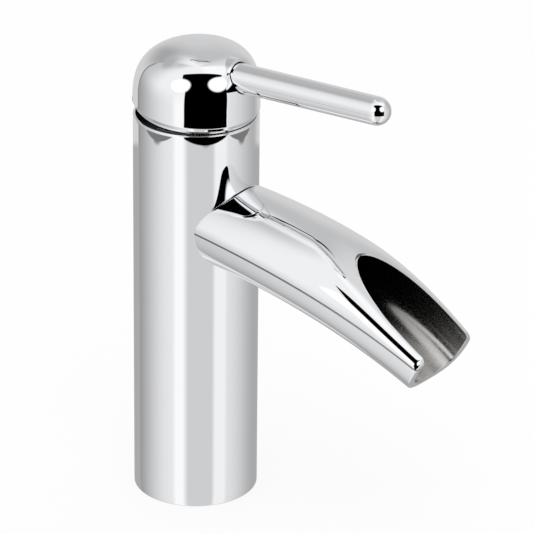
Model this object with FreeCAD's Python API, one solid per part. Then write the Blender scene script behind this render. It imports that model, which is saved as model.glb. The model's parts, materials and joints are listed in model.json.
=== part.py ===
"""Single-lever basin mixer with a domed handle and an open, curved waterfall spout.

Millimetres, +Z up. The origin is the centre of the column's foot, on the deck.
The spout and the lever point along -Y, and the plane X = 0 mirrors the mixer.
The lever is shown closed, as the joints' zero.
"""
import FreeCAD, Part
import math
import os

V = FreeCAD.Vector
UP = V(0, 0, 1)
SIDE = V(1, 0, 0)
FAR = 400.0                      # longer than the mixer, for cutting tools

# ---- clearances ----------------------------------------------------------------
FIT = 0.05                       # radial play of a piece seated in a bore
RUN = 0.05                       # running play of a turning or sliding piece
SEAL_FIT = 0.03                  # play left round a sealing ring
GAP = 0.35                       # open gap between pieces that must not touch

# ---- cartridge -------------------------------------------------------------------
CART_R = 17.5                    # a 35 mm cartridge
CART_SHOULDER_H = 16.6           # from its foot to the shoulder that the nut clamps
CART_SHOULDER_W = 3.3            # how far the shoulder steps in to the neck
CART_BASE_H = 4.0
CART_SPIGOT_H = 1.6              # raised middle of the base, inside the housing
CART_WALL = 2.3                  # round the discs
NECK_WALL = 1.1                  # round the rotor's flange
NECK_LIP_W = 1.6                 # lip that holds the rotor's flange down
NECK_LIP_H = 4.0
PORT_PCD_R = 7.6                 # ports of the cartridge lie on this radius
CART_PORT_R = 3.1
PORT_RING_R = 0.8                # section of the rings round the ports
OUTLET_ANGLE = -90.0
INLET_ANGLES = (150.0, 30.0)     # hot, cold
PEG_R = 1.6
PEG_H = 2.4
PEG_PCD_R = 13.6
FIXED_DISC_PLAY = 1.2            # round the fixed disc
FIXED_DISC_T = 3.2
MOVING_DISC_PLAY = 1.35          # round the moving disc at the end of its slide
MOVING_DISC_T = 3.4
MIX_POCKET_L = 15.0
MIX_POCKET_W = 9.0
MIX_POCKET_DEPTH = 1.9
MIX_POCKET_ROUND = 2.7
CARRIER_T = 3.6
CARRIER_BOSS_R = 6.2

# ---- column ----------------------------------------------------------------------
COLUMN_H = 149.5
COLUMN_WALL = 3.0                # round the valve block
COLUMN_FOOT_BEVEL = 0.4
LEDGE_W = 1.0                    # ledge inside the column that the block stands on
RIM_WALL = 0.85                  # thin rim round the mouth that the handle dips into
RIM_ROUND = 0.55
MOUTH_DEPTH = 7.9

# ---- foot ------------------------------------------------------------------------
PLUG_H = 14.6
INLET_X = 9.0                    # hot at -X, cold at +X
INLET_Y = -2.0
INLET_THREAD_R = 5.0             # M10x1
INLET_THREAD_DEPTH = 8.0
INLET_WAY_R = 3.4
STUD_HOLE_Y = 10.5
STUD_HOLE_R = 4.0                # M8
STUD_HOLE_DEPTH = 11.0
GASKET_R = 21.0                  # middle of the ring
GASKET_W = 2.2
GASKET_T = 1.8

# ---- tubes -----------------------------------------------------------------------
TUBE_R = 4.5
TUBE_WALL = 1.0
TUBE_SEAT = 5.0                  # how far each end sits in its socket
TUBE_RING_R = 0.9                # section of the tube's sealing rings

# ---- valve block -----------------------------------------------------------------
CUP_PLAY = 0.15                  # round the cartridge
NUT_THREAD_W = 1.15              # the nut's thread is this much wider than the cup
BLOCK_WALL = 1.15                # round the nut's thread
BLOCK_BODY_H = 30.0              # from the ledge to the cartridge's foot
SPIGOT_H = 5.0                   # below the ledge
PORT_DOWN = 11.0                 # from the cartridge's foot down to the water port
PORT_R = 6.0
COLUMN_PORT_R = 7.0
BELT_DEPTH = 1.4                 # ring channel round the block at the port
BELT_H = 14.4
BLOCK_RING_R = 0.9
BLOCK_RING_AWAY = 9.0            # from the port's middle, up and down

# ---- nut, cover and stop ring ------------------------------------------------------
NUT_T = 2.9
NUT_SKIRT_H = 2.4
NUT_RUNOUT = 0.7                 # thread below the nut's skirt
NUT_PROUD = 0.3                  # above the block
NUT_SLOTS = 6
NUT_SLOT_W = 4.0
NUT_SLOT_L = 2.2
NUT_SLOT_DEPTH = 1.7
COVER_T = 0.8
COVER_GAP = 0.1
STOP_RING_H = 2.4
STOP_RING_R = 13.2
STOP_TOOTH_L = 1.2
STOP_TOOTH_W = 3.0

# ---- rotor and stem ----------------------------------------------------------------
PIVOT_UP = 9.2                   # lift axis above the column's rim, along X
PIVOT_ABOVE_NECK = 7.7
ROTOR_ABOVE_PIVOT = 3.2
ROTOR_NECK_R = 9.0
ROTOR_FLANGE_T = 2.6
ROTOR_RING_R = 0.8
ROTOR_RING_DOWN = 1.8            # below the housing's top
SLOT_PLAY = 0.8                  # before and behind the stem at the rotor's foot
PIN_R = 2.0
PIN_SHORT = 0.4                  # each end stops this far inside the rotor
STEM_W = 8.0                     # square stem
STEM_TOP = 13.4                  # from the pivot along the stem
STEM_SQUARE_DOWN = 7.5
STEM_BALL_R = 3.4
STEM_BALL_DROP = 17.0
STEM_SHANK_STEP = 0.6            # the shank is this much thinner than the ball
LIFT_MAX = 22.0                  # degrees, lever fully lifted

# ---- handle dome -------------------------------------------------------------------
DOME_PROUD = 0.25                # beyond the column's side
CROWN_UP = 6.0                   # where the crown springs from the side, above the rim
CROWN_H = 21.3
CROWN_POWER = 2.73               # 2 is an ellipse, more is squarer
CROWN_RISE = 0.040               # rise per mm towards the lever
BEVEL_UP = 4.15                  # crease of the bevelled lower edge, above the rim
BEVEL_DROP = 0.080               # fall per mm towards the lever
EDGE_UP = 0.85                   # lower edge above the rim
EDGE_IN = 0.55                   # lower edge inside the mouth
EDGE_DROP = 0.035
EDGE_WALL = 1.6
DOME_WALL = 2.2
DOME_ROOF = 3.0
HUB_R = 9.4
HUB_UP = 6.2                     # hub's lower end above the pivot, along the stem

# ---- lever -------------------------------------------------------------------------
LEVER_RISE = 2.95                # degrees above level
LEVER_OFFSET = 8.33              # its axis passes this far above the pivot
LEVER_REACH = 80.7               # from the column's axis to the tip's centre
LEVER_ROOT_R = 5.35
LEVER_TIP_R = 5.15
LEVER_HOLE_PLAY = 0.35           # fine dark gap round the lever
LEVER_HOLE_DEPTH = 5.75          # of that gap
LEVER_SEAT_L = 5.0
LEVER_ARM_WALL = 1.6             # round the lever, inside the dome
STUD_R = 3.0                     # M6
STUD_IN_LEVER = 9.0
ADAPTER_WALL = 1.2

# ---- spout -------------------------------------------------------------------------
SPOUT_ABOVE_PORT = 1.75          # centre line on the column's axis, above the port
SPOUT_LENGTH = 116.4             # along the centre line, from the column's axis
SPOUT_ROOT_FALL = 2.4            # degrees
SPOUT_END_FALL = 28.7
SPOUT_HALF_W = (17.4, 20.4, 16.9)      # at the root, half way and at the mouth
SPOUT_UP = (14.3, 14.2, 14.15)         # centre line to the top
SPOUT_DOWN = (16.5, 14.85, 13.7)       # centre line to the underside
SPOUT_TOP_POWER = 1.75
SPOUT_BOTTOM_POWER = (2.35, 3.15)      # at the root and at the mouth
SPOUT_WALL = 3.6
SPOUT_ROOF = 2.35
SPOUT_FLOOR = 2.1
OPENING_UP = 3.44                # the opening's plane above the centre line at the mouth
OPENING_FALL = 33.0              # degrees
STATIONS = 9                     # sections along the spout
ARC_POINTS = 15                  # points on half a section


# ---- helpers ------------------------------------------------------------------------------
def rad(degrees):
    return math.radians(degrees)


def cylinder(r, z0, z1, x=0.0, y=0.0):
    return Part.makeCylinder(r, z1 - z0, V(x, y, z0))


def ring(r_in, r_out, z0, z1):
    return cylinder(r_out, z0, z1).cut(cylinder(r_in, z0 - 1, z1 + 1))


def rod_along(start, direction, length, r):
    return Part.makeCylinder(r, length, start, direction)


def o_ring(r_mid, r_section, z, x=0.0, y=0.0):
    return Part.makeTorus(r_mid, r_section, V(x, y, z))


def box(x0, x1, y0, y1, z0, z1):
    return Part.makeBox(x1 - x0, y1 - y0, z1 - z0, V(x0, y0, z0))


def polar(r, degrees):
    return r * math.cos(rad(degrees)), r * math.sin(rad(degrees))


def group(shapes):
    return Part.makeCompound(shapes)


def save(name, shape):
    shape.exportStep("parts/%s.step" % name)
    print("%-20s solids %d  volume %.1f  valid %s" % (name, len(shape.Solids), shape.Volume, shape.isValid()))


# ---- radii worked out from the sizes, from the cartridge outwards ---------------------------
CART_CAVITY_R = CART_R - CART_WALL
NECK_R = CART_R - CART_SHOULDER_W
FLANGE_BORE_R = NECK_R - NECK_WALL
NECK_BORE_R = FLANGE_BORE_R - NECK_LIP_W
CUP_R = CART_R + CUP_PLAY
NUT_THREAD_R = CUP_R + NUT_THREAD_W
BLOCK_R = NUT_THREAD_R + BLOCK_WALL
UPPER_BORE_R = BLOCK_R + FIT
LOWER_BORE_R = UPPER_BORE_R - LEDGE_W
COLUMN_R = UPPER_BORE_R + COLUMN_WALL
MOUTH_R = COLUMN_R - RIM_WALL
DOME_R = COLUMN_R + DOME_PROUD
EDGE_R = MOUTH_R - EDGE_IN
LEVER_HOLE_R = LEVER_ROOT_R + LEVER_HOLE_PLAY
STEM_SHANK_R = STEM_BALL_R - STEM_SHANK_STEP

# ---- heights worked out from the sizes, from the rim down and up ----------------------------
COVER_Z = COLUMN_H - MOUTH_DEPTH
NUT_TOP_Z = COVER_Z - COVER_GAP
BLOCK_TOP_Z = NUT_TOP_Z - NUT_PROUD
CART_SHOULDER_Z = NUT_TOP_Z - NUT_T
NUT_THREAD_Z = CART_SHOULDER_Z - NUT_SKIRT_H - NUT_RUNOUT
BLOCK_FLOOR_Z = CART_SHOULDER_Z - CART_SHOULDER_H      # the cartridge stands here
LEDGE_Z = BLOCK_FLOOR_Z - BLOCK_BODY_H
PORT_Z = BLOCK_FLOOR_Z - PORT_DOWN
SPOUT_Z = PORT_Z + SPOUT_ABOVE_PORT
TUBE_BOTTOM_Z = PLUG_H - TUBE_SEAT
TUBE_TOP_Z = LEDGE_Z - SPIGOT_H + TUBE_SEAT
CART_BASE_TOP = BLOCK_FLOOR_Z + CART_BASE_H
FIXED_DISC_Z = CART_BASE_TOP + CART_SPIGOT_H
MOVING_DISC_Z = FIXED_DISC_Z + FIXED_DISC_T + RUN
CARRIER_Z = MOVING_DISC_Z + MOVING_DISC_T
PIVOT_Z = COLUMN_H + PIVOT_UP
NECK_TOP_Z = PIVOT_Z - PIVOT_ABOVE_NECK
FLANGE_TOP_Z = NECK_TOP_Z - NECK_LIP_H
ROTOR_TOP_Z = PIVOT_Z + ROTOR_ABOVE_PIVOT
ROTOR_BOTTOM_Z = FLANGE_TOP_Z - RUN - ROTOR_FLANGE_T
ROTOR_RING_Z = NECK_TOP_Z - ROTOR_RING_DOWN
CROWN_Z = COLUMN_H + CROWN_UP
BEVEL_Z = COLUMN_H + BEVEL_UP
EDGE_Z = COLUMN_H + EDGE_UP

# ---- the stem's lean and the lever's line ----------------------------------------------------
STEM_LEAN = LIFT_MAX / 2         # closed it leans this far to the lever, lifted as far away
STEM_THROW = STEM_BALL_DROP * math.sin(rad(STEM_LEAN))   # ball behind the axis when closed
SLOT_HALF_L = STEM_SHANK_R + (PIVOT_Z - ROTOR_BOTTOM_Z) * math.tan(rad(STEM_LEAN)) + SLOT_PLAY
PIVOT = V(0, 0, PIVOT_Z)
LEVER_DIR = V(0, -math.cos(rad(LEVER_RISE)), math.sin(rad(LEVER_RISE)))
LEVER_BASE = V(0, 0, PIVOT_Z + LEVER_OFFSET / math.cos(rad(LEVER_RISE)))
LEVER_HOLE_START = DOME_R - LEVER_HOLE_DEPTH
LEVER_ROOT = LEVER_HOLE_START - LEVER_SEAT_L             # the lever ends here, inside the hub
LEVER_SEAT_R = LEVER_ROOT_R + FIT
LEVER_ARM_R = LEVER_ROOT_R + LEVER_ARM_WALL


# ---- column and foot -----------------------------------------------------------------------
def column_body():
    body = cylinder(COLUMN_R, 0, COLUMN_H)
    foot_edge = [edge for edge in body.Edges if edge.BoundBox.ZMax < FIT]
    body = body.makeChamfer(COLUMN_FOOT_BEVEL, foot_edge)
    body = body.cut(cylinder(LOWER_BORE_R, -1, LEDGE_Z))
    body = body.cut(cylinder(UPPER_BORE_R, LEDGE_Z, COLUMN_H + 1))
    body = body.cut(cylinder(MOUTH_R, COVER_Z, COLUMN_H + 1))
    body = body.cut(gasket_groove())
    body = body.cut(rod_along(V(0, 0, PORT_Z), V(0, -1, 0), COLUMN_R + 1, COLUMN_PORT_R))
    rim = [edge for edge in body.Edges if edge.BoundBox.ZMin > COLUMN_H - FIT]
    outer = max(rim, key=lambda edge: edge.Length)
    return body.makeFillet(RIM_ROUND, [outer])


def gasket_groove():
    return ring(GASKET_R - GASKET_W / 2, GASKET_R + GASKET_W / 2, -1, GASKET_T)


def base_gasket():
    half = GASKET_W / 2 - FIT
    return ring(GASKET_R - half, GASKET_R + half, 0, GASKET_T - FIT)


def base_plug():
    plug = cylinder(LOWER_BORE_R - FIT, 0, PLUG_H).cut(gasket_groove())
    for x in (-INLET_X, INLET_X):
        plug = plug.cut(cylinder(INLET_THREAD_R, -1, INLET_THREAD_DEPTH, x, INLET_Y))
        plug = plug.cut(cylinder(INLET_WAY_R, 0, FAR, x, INLET_Y))
        plug = plug.cut(cylinder(TUBE_R + FIT, TUBE_BOTTOM_Z, FAR, x, INLET_Y))
        plug = plug.cut(tube_socket_groove(x, tube_ring_heights()[0]))
    return plug.cut(cylinder(STUD_HOLE_R, -1, STUD_HOLE_DEPTH, 0, STUD_HOLE_Y))


def ring_groove(x, y, z, r_shaft, r_section):
    """Groove round a shaft at (x, y) that holds one sealing ring."""
    r_bottom = r_shaft - 2 * r_section
    outer = cylinder(r_shaft + 1, z - r_section - SEAL_FIT, z + r_section + SEAL_FIT, x, y)
    return outer.cut(cylinder(r_bottom, z - 2 * r_section, z + 2 * r_section, x, y))


def tube_ring_heights():
    inset = TUBE_SEAT / 2
    return TUBE_BOTTOM_Z + inset, TUBE_TOP_Z - inset


def inlet_tube(x):
    tube = cylinder(TUBE_R, TUBE_BOTTOM_Z, TUBE_TOP_Z, x, INLET_Y)
    return tube.cut(cylinder(TUBE_R - TUBE_WALL, 0, FAR, x, INLET_Y))


def tube_socket_groove(x, z):
    """Groove in a socket's wall for one of the tube's rings."""
    r_out = TUBE_R + FIT + 2 * TUBE_RING_R
    return cylinder(r_out, z - TUBE_RING_R - SEAL_FIT, z + TUBE_RING_R + SEAL_FIT, x, INLET_Y)


def tube_o_rings():
    r_mid = TUBE_R + TUBE_RING_R + SEAL_FIT
    rings = []
    for x in (-INLET_X, INLET_X):
        for z in tube_ring_heights():
            rings.append(o_ring(r_mid, TUBE_RING_R, z, x, INLET_Y))
    return group(rings)


# ---- valve block -----------------------------------------------------------------------------
def valve_block():
    block = cylinder(BLOCK_R, LEDGE_Z, BLOCK_TOP_Z)
    block = block.fuse(cylinder(LOWER_BORE_R - FIT, LEDGE_Z - SPIGOT_H, LEDGE_Z)).removeSplitter()
    block = block.cut(cylinder(CUP_R, BLOCK_FLOOR_Z, FAR))
    block = block.cut(cylinder(NUT_THREAD_R, NUT_THREAD_Z, FAR))
    block = block.cut(ring(BLOCK_R - BELT_DEPTH, BLOCK_R + 1, PORT_Z - BELT_H / 2, PORT_Z + BELT_H / 2))
    for z in block_ring_heights():
        block = block.cut(ring_groove(0, 0, z, BLOCK_R, BLOCK_RING_R))
    block = block.cut(outlet_way()).cut(peg_holes())
    for angle, x in zip(INLET_ANGLES, (-INLET_X, INLET_X)):
        block = block.cut(inlet_way(angle, x))
    return block


def block_ring_heights():
    return PORT_Z - BLOCK_RING_AWAY, PORT_Z + BLOCK_RING_AWAY


def outlet_way():
    """From the cartridge's outlet port down, then out to the spout."""
    x, y = polar(PORT_PCD_R, OUTLET_ANGLE)
    down = cylinder(CART_PORT_R, PORT_Z, BLOCK_FLOOR_Z + 1, x, y)
    return down.fuse(rod_along(V(x, y, PORT_Z), V(0, -1, 0), COLUMN_R, PORT_R))


def inlet_way(angle, tube_x):
    """From a tube's socket up to one of the cartridge's inlet ports."""
    port_x, port_y = polar(PORT_PCD_R, angle)
    socket = cylinder(TUBE_R + FIT, 0, TUBE_TOP_Z, tube_x, INLET_Y)
    groove = tube_socket_groove(tube_x, tube_ring_heights()[1])
    start = V(tube_x, INLET_Y, TUBE_TOP_Z)
    end = V(port_x, port_y, BLOCK_FLOOR_Z + 1)
    slant = rod_along(start, end - start, (end - start).Length, CART_PORT_R)
    return socket.fuse(groove).fuse(slant)


def peg_places():
    return [polar(PEG_PCD_R, angle) for angle in (0.0, 180.0)]


def peg_holes():
    z0 = BLOCK_FLOOR_Z - PEG_H - FIT
    return group([cylinder(PEG_R + FIT, z0, BLOCK_FLOOR_Z + 1, x, y) for x, y in peg_places()])


def block_o_rings():
    r_mid = BLOCK_R - BLOCK_RING_R
    return group([o_ring(r_mid, BLOCK_RING_R - SEAL_FIT, z) for z in block_ring_heights()])


# ---- cartridge -------------------------------------------------------------------------------
def port_places():
    return [polar(PORT_PCD_R, angle) for angle in (OUTLET_ANGLE,) + INLET_ANGLES]


def port_grooves(z_face, up):
    """Grooves for the rings round the three ports, sunk into a face."""
    depth = 2 * PORT_RING_R
    z0, z1 = (z_face - depth, z_face + 1) if up else (z_face - 1, z_face + depth)
    r_out = CART_PORT_R + 2 * PORT_RING_R + SEAL_FIT
    return group([cylinder(r_out, z0, z1, x, y) for x, y in port_places()])


def port_rings(z):
    r_mid = CART_PORT_R + PORT_RING_R
    return group([o_ring(r_mid, PORT_RING_R - SEAL_FIT, z, x, y) for x, y in port_places()])


def cartridge_base():
    base = cylinder(CART_R, BLOCK_FLOOR_Z, CART_BASE_TOP)
    base = base.fuse(cylinder(CART_CAVITY_R - FIT, CART_BASE_TOP - 0.5, FIXED_DISC_Z)).removeSplitter()
    base = base.cut(port_grooves(BLOCK_FLOOR_Z, False)).cut(port_grooves(FIXED_DISC_Z, True))
    for x, y in port_places():
        base = base.cut(cylinder(CART_PORT_R, BLOCK_FLOOR_Z - 1, FIXED_DISC_Z + 1, x, y))
    for x, y in peg_places():
        base = base.fuse(cylinder(PEG_R, BLOCK_FLOOR_Z - PEG_H, BLOCK_FLOOR_Z + 0.5, x, y))
    return base.removeSplitter()


def port_seals():
    return port_rings(BLOCK_FLOOR_Z + PORT_RING_R)


def disc_seals():
    return port_rings(FIXED_DISC_Z - PORT_RING_R)


def fixed_disc():
    r = CART_CAVITY_R - FIXED_DISC_PLAY
    disc = cylinder(r, FIXED_DISC_Z, FIXED_DISC_Z + FIXED_DISC_T)
    for x, y in port_places():
        disc = disc.cut(cylinder(CART_PORT_R, 0, FAR, x, y))
    return disc


def cartridge_housing():
    """Shell of the cartridge: wide cavity, bore for the rotor's flange, then the neck."""
    shell = cylinder(CART_R, CART_BASE_TOP, CART_SHOULDER_Z)
    shell = shell.fuse(cylinder(NECK_R, CART_SHOULDER_Z - 0.5, NECK_TOP_Z)).removeSplitter()
    shell = shell.cut(cylinder(CART_CAVITY_R, 0, CART_SHOULDER_Z - (CART_R - CART_CAVITY_R)))
    shell = shell.cut(cylinder(FLANGE_BORE_R, 0, FLANGE_TOP_Z))
    return shell.cut(cylinder(NECK_BORE_R, 0, FAR))


def moving_disc():
    r = CART_CAVITY_R - STEM_THROW - MOVING_DISC_PLAY
    disc = cylinder(r, MOVING_DISC_Z, MOVING_DISC_Z + MOVING_DISC_T)
    half_l, half_w = MIX_POCKET_L / 2, MIX_POCKET_W / 2
    pocket = box(-half_w, half_w, -half_l, half_l, MOVING_DISC_Z - 1, MOVING_DISC_Z + MIX_POCKET_DEPTH)
    upright = [edge for edge in pocket.Edges if edge.BoundBox.ZLength > MIX_POCKET_DEPTH]
    disc = disc.cut(pocket.makeFillet(MIX_POCKET_ROUND, upright))
    disc.translate(V(0, STEM_THROW, 0))
    return disc


def disc_carrier():
    top = ROTOR_BOTTOM_Z - RUN
    r = FLANGE_BORE_R - STEM_THROW - RUN
    carrier = cylinder(r, CARRIER_Z, CARRIER_Z + CARRIER_T)
    carrier = carrier.fuse(cylinder(CARRIER_BOSS_R, CARRIER_Z + CARRIER_T - 0.5, top)).removeSplitter()
    socket_z = PIVOT_Z - STEM_BALL_DROP - STEM_BALL_R - GAP
    carrier = carrier.cut(cylinder(STEM_BALL_R + RUN, socket_z, FAR))
    carrier.translate(V(0, STEM_THROW, 0))
    return carrier


# ---- rotor and stem ----------------------------------------------------------------------------
def cartridge_rotor():
    rotor = cylinder(FLANGE_BORE_R - RUN, ROTOR_BOTTOM_Z, FLANGE_TOP_Z - RUN)
    rotor = rotor.fuse(cylinder(NECK_BORE_R - RUN, FLANGE_TOP_Z - 1, NECK_TOP_Z))
    rotor = rotor.fuse(cylinder(ROTOR_NECK_R, NECK_TOP_Z - 1, ROTOR_TOP_Z)).removeSplitter()
    half_w = STEM_W / 2 + RUN
    rotor = rotor.cut(box(-half_w, half_w, -SLOT_HALF_L, SLOT_HALF_L, 0, FAR))
    rotor = rotor.cut(rod_along(V(-COLUMN_R, 0, PIVOT_Z), SIDE, 2 * COLUMN_R, PIN_R + FIT))
    return rotor.cut(ring_groove(0, 0, ROTOR_RING_Z, NECK_BORE_R - RUN, ROTOR_RING_R))


def rotor_seal():
    return o_ring(NECK_BORE_R - RUN - ROTOR_RING_R, ROTOR_RING_R - SEAL_FIT, ROTOR_RING_Z)


def pivot_pin():
    half = ROTOR_NECK_R - PIN_SHORT
    return rod_along(V(-half, 0, PIVOT_Z), SIDE, 2 * half, PIN_R)


def along_stem(shape):
    """Lean a shape drawn upright on the pivot, so that it lies on the stem's axis."""
    leaned = shape.copy()
    leaned.rotate(PIVOT, SIDE, STEM_LEAN)
    return leaned


def cartridge_stem():
    half = STEM_W / 2
    stem = box(-half, half, -half, half, PIVOT_Z - STEM_SQUARE_DOWN, PIVOT_Z + STEM_TOP)
    ball = Part.makeSphere(STEM_BALL_R, V(0, 0, PIVOT_Z - STEM_BALL_DROP))
    shank = cylinder(STEM_SHANK_R, PIVOT_Z - STEM_BALL_DROP, PIVOT_Z - STEM_SQUARE_DOWN + 1)
    stem = stem.fuse(shank).fuse(ball).removeSplitter()
    stem = along_stem(stem)
    return stem.cut(rod_along(V(-COLUMN_R, 0, PIVOT_Z), SIDE, 2 * COLUMN_R, PIN_R + RUN))


# ---- nut, cover and stop ring ------------------------------------------------------------------
def retaining_nut():
    z0 = CART_SHOULDER_Z
    bore = NECK_R + FIT
    nut = ring(bore, NUT_THREAD_R - FIT, z0, z0 + NUT_T)
    skirt = ring(CART_R + FIT, NUT_THREAD_R - FIT, z0 - NUT_SKIRT_H, z0 + 0.5)
    nut = nut.fuse(skirt).removeSplitter()
    for k in range(NUT_SLOTS):
        slot = box(NUT_THREAD_R - NUT_SLOT_L, COLUMN_R, -NUT_SLOT_W / 2, NUT_SLOT_W / 2,
                   NUT_TOP_Z - NUT_SLOT_DEPTH, FAR)
        slot.rotate(V(0, 0, 0), UP, 360.0 / NUT_SLOTS * k)
        nut = nut.cut(slot)
    return nut


def nut_cover():
    """Black ring that closes the mouth just above the nut."""
    return ring(NECK_R + FIT, MOUTH_R - FIT, COVER_Z, COVER_Z + COVER_T)


def hot_limit_ring():
    """Ring on the neck, with two teeth that stand in the way of the rotor's lug."""
    body = ring(ROTOR_NECK_R + RUN, STOP_RING_R, NECK_TOP_Z, NECK_TOP_Z + STOP_RING_H)
    half_w = STOP_TOOTH_W / 2
    teeth = box(-COLUMN_R, COLUMN_R, -half_w, half_w, NECK_TOP_Z, NECK_TOP_Z + STOP_RING_H)
    teeth = teeth.common(ring(STOP_RING_R - RIM_WALL, STOP_RING_R + STOP_TOOTH_L, 0, FAR))
    return body.fuse(teeth).removeSplitter()


# ---- handle ---------------------------------------------------------------------------------------
def sloped(shape, slope_per_mm, z_ref):
    """Slide every point up by slope_per_mm for each mm towards the lever (-Y)."""
    m = FreeCAD.Matrix()
    m.A32 = -slope_per_mm
    moved = shape.copy()
    moved.translate(V(0, 0, -z_ref))
    moved = moved.transformGeometry(m)
    moved.translate(V(0, 0, z_ref))
    return moved


def crown_solid(r, h, z_spring, depth):
    """Turned crown on a straight side, closed below at z_spring - depth."""
    quarter = math.pi / 2
    steps = 24
    points = []
    for k in range(steps + 1):
        a = quarter * k / steps
        x = r * math.cos(a) ** (2 / CROWN_POWER)
        z = h * math.sin(a) ** (2 / CROWN_POWER)
        points.append(V(x if k < steps else 0.0, 0, z_spring + z))
    curve = Part.BSplineCurve()
    curve.interpolate(Points=points, InitialTangent=V(0, 0, 1), FinalTangent=V(-1, 0, 0))
    top, low = points[-1], V(0, 0, z_spring - depth)
    corner = V(r, 0, z_spring - depth)
    edges = [curve.toShape(), Part.makeLine(top, low), Part.makeLine(low, corner)]
    edges.append(Part.makeLine(corner, points[0]))
    face = Part.Face(Part.Wire(edges))
    return face.revolve(V(0, 0, 0), UP, 360)


def skirt_cone(r_top, z_top, r_edge, z_edge):
    """Turned bevel: straight above z_top, narrowing to the lower edge."""
    slope = (r_top - r_edge) / (z_top - z_edge)
    reach = 10.0
    low = Part.makeCone(r_edge - slope * reach, r_top, z_top - z_edge + reach, V(0, 0, z_edge - reach))
    return low.fuse(cylinder(r_top + 1, z_top, z_top + FAR))


def below_lower_edge():
    """Everything under the sloping lower edge of the dome."""
    slab = box(-FAR, FAR, -FAR, FAR, EDGE_Z - FAR, EDGE_Z)
    slab.rotate(V(0, 0, EDGE_Z), SIDE, math.degrees(math.atan(EDGE_DROP)))
    return slab


def dome_envelope():
    depth = CROWN_Z - EDGE_Z + 5
    crown = sloped(crown_solid(DOME_R, CROWN_H, CROWN_Z, depth), CROWN_RISE, CROWN_Z)
    bevel = sloped(skirt_cone(DOME_R, BEVEL_Z, EDGE_R, EDGE_Z), -BEVEL_DROP, BEVEL_Z)
    return crown.common(bevel).cut(below_lower_edge())


def dome_cavity():
    depth = CROWN_Z - EDGE_Z + 5
    cavity = crown_solid(DOME_R - DOME_WALL, CROWN_H - DOME_ROOF, CROWN_Z, depth)
    cavity = sloped(cavity, CROWN_RISE, CROWN_Z)
    return cavity.common(skirt_cone(DOME_R - DOME_WALL, BEVEL_Z, EDGE_R - EDGE_WALL, EDGE_Z))


def handle_dome():
    hub = along_stem(cylinder(HUB_R, PIVOT_Z + HUB_UP, PIVOT_Z + FAR))
    arm = lever_bore(LEVER_ARM_R, ROTOR_NECK_R + 2 * GAP, FAR)
    fill = hub.fuse(arm)
    envelope = dome_envelope()
    dome = envelope.cut(dome_cavity().cut(fill))
    half = STEM_W / 2 + ADAPTER_WALL + 2 * FIT
    socket = box(-half, half, -half, half, PIVOT_Z, PIVOT_Z + STEM_TOP + GAP)
    dome = dome.cut(along_stem(socket))
    dome = dome.cut(lever_bore(LEVER_HOLE_R, LEVER_HOLE_START, FAR))
    dome = dome.cut(lever_bore(LEVER_SEAT_R, LEVER_ROOT, LEVER_HOLE_START + 1))
    return dome.cut(lever_bore(STUD_R + FIT, 0, LEVER_ROOT + 1))


def lever_bore(r, start, end):
    return rod_along(LEVER_BASE + LEVER_DIR * start, LEVER_DIR, end - start, r)


def lever_rod():
    seat = lever_bore(LEVER_ROOT_R, LEVER_ROOT, LEVER_HOLE_START)
    start = LEVER_BASE + LEVER_DIR * LEVER_HOLE_START
    length = LEVER_REACH - LEVER_HOLE_START
    bar = Part.makeCone(LEVER_ROOT_R, LEVER_TIP_R, length, start, LEVER_DIR)
    tip = Part.makeSphere(LEVER_TIP_R, LEVER_BASE + LEVER_DIR * LEVER_REACH)
    lever = seat.fuse(bar).fuse(tip).removeSplitter()
    return lever.cut(lever_bore(STUD_R + FIT, LEVER_ROOT - 1, LEVER_ROOT + STUD_IN_LEVER + GAP))


def lever_stud():
    """Set stud: holds the lever in the hub, and its point clamps the cap on the stem."""
    face = stem_face_distance()
    return lever_bore(STUD_R, face, LEVER_ROOT + STUD_IN_LEVER)


def stem_face_distance():
    """Distance along the lever's axis at which it meets the sleeve round the stem."""
    half = STEM_W / 2 + ADAPTER_WALL + FIT
    normal = V(0, -math.cos(rad(STEM_LEAN)), -math.sin(rad(STEM_LEAN)))
    reach = half - (LEVER_BASE - PIVOT).dot(normal)
    return reach / LEVER_DIR.dot(normal) + STUD_R * math.tan(rad(STEM_LEAN + LEVER_RISE)) + FIT


def stem_adapter():
    outer = STEM_W / 2 + ADAPTER_WALL + FIT
    inner = STEM_W / 2 + FIT
    z0, z1 = PIVOT_Z + HUB_UP, PIVOT_Z + STEM_TOP
    sleeve = box(-outer, outer, -outer, outer, z0, z1)
    return along_stem(sleeve.cut(box(-inner, inner, -inner, inner, 0, FAR)))


# ---- spout -----------------------------------------------------------------------------------------
def spout_fall(t):
    """Slope of the centre line, in radians below level, t mm along it."""
    u = t / SPOUT_LENGTH
    bend = SPOUT_END_FALL - SPOUT_ROOT_FALL
    return rad(SPOUT_ROOT_FALL + bend * (u + u * u) / 2)


def spout_point(t, steps=60):
    """Place on the centre line and the direction across it, upwards."""
    y, z, dt = 0.0, SPOUT_Z, t / steps
    for k in range(steps):
        fall = spout_fall((k + 0.5) * dt)
        y -= math.cos(fall) * dt
        z -= math.sin(fall) * dt
    fall = spout_fall(t)
    return V(0, y, z), V(0, -math.sin(fall), math.cos(fall))


def through_three(values, u):
    """Parabola through the sizes at the root, half way and the mouth."""
    root, middle, mouth = values
    return root * (1 - u) * (1 - 2 * u) + middle * 4 * u * (1 - u) + mouth * u * (2 * u - 1)


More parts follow.
